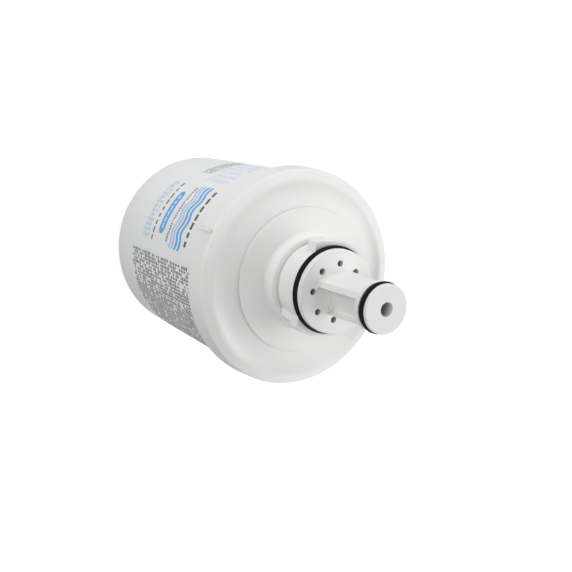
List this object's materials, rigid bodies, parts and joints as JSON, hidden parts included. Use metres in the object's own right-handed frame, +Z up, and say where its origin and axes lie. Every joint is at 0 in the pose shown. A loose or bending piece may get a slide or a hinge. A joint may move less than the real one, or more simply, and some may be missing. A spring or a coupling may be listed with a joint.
{
  "type": "refrigerator water filter cartridge",
  "caption": "Round white filter can with a dished collar, a bayonet neck ringed by inlet holes and a sealed outlet spigot, for a fridge's water line.",
  "frame": {"origin": "centre of the flat base, on the cartridge's axis", "axes": "+Z up the axis to the outlet tip, +Y through the middle of one bayonet lug, +X completes the right-handed set"},
  "size_m": [0.0842, 0.0842, 0.1455],
  "materials": {
    "white_polypropylene": "moulded, soft sheen",
    "printed_film": "printed polypropylene film",
    "nitrile_rubber": "matte black",
    "bonded_carbon": "sintered, matte",
    "nonwoven_sleeve": "spunbond",
    "natural_polypropylene": "moulded"
  },
  "bodies": {
    "root": {"sump_body": "white_polypropylene", "head_cap": "white_polypropylene", "wrap_label": "printed_film", "neck_o_ring": "nitrile_rubber", "spigot_o_ring": "nitrile_rubber", "stem_o_ring": "nitrile_rubber", "carbon_block": "bonded_carbon", "prefilter_wrap": "nonwoven_sleeve", "top_end_cap": "natural_polypropylene", "bottom_end_cap": "natural_polypropylene"}
  },
  "joints": []
}
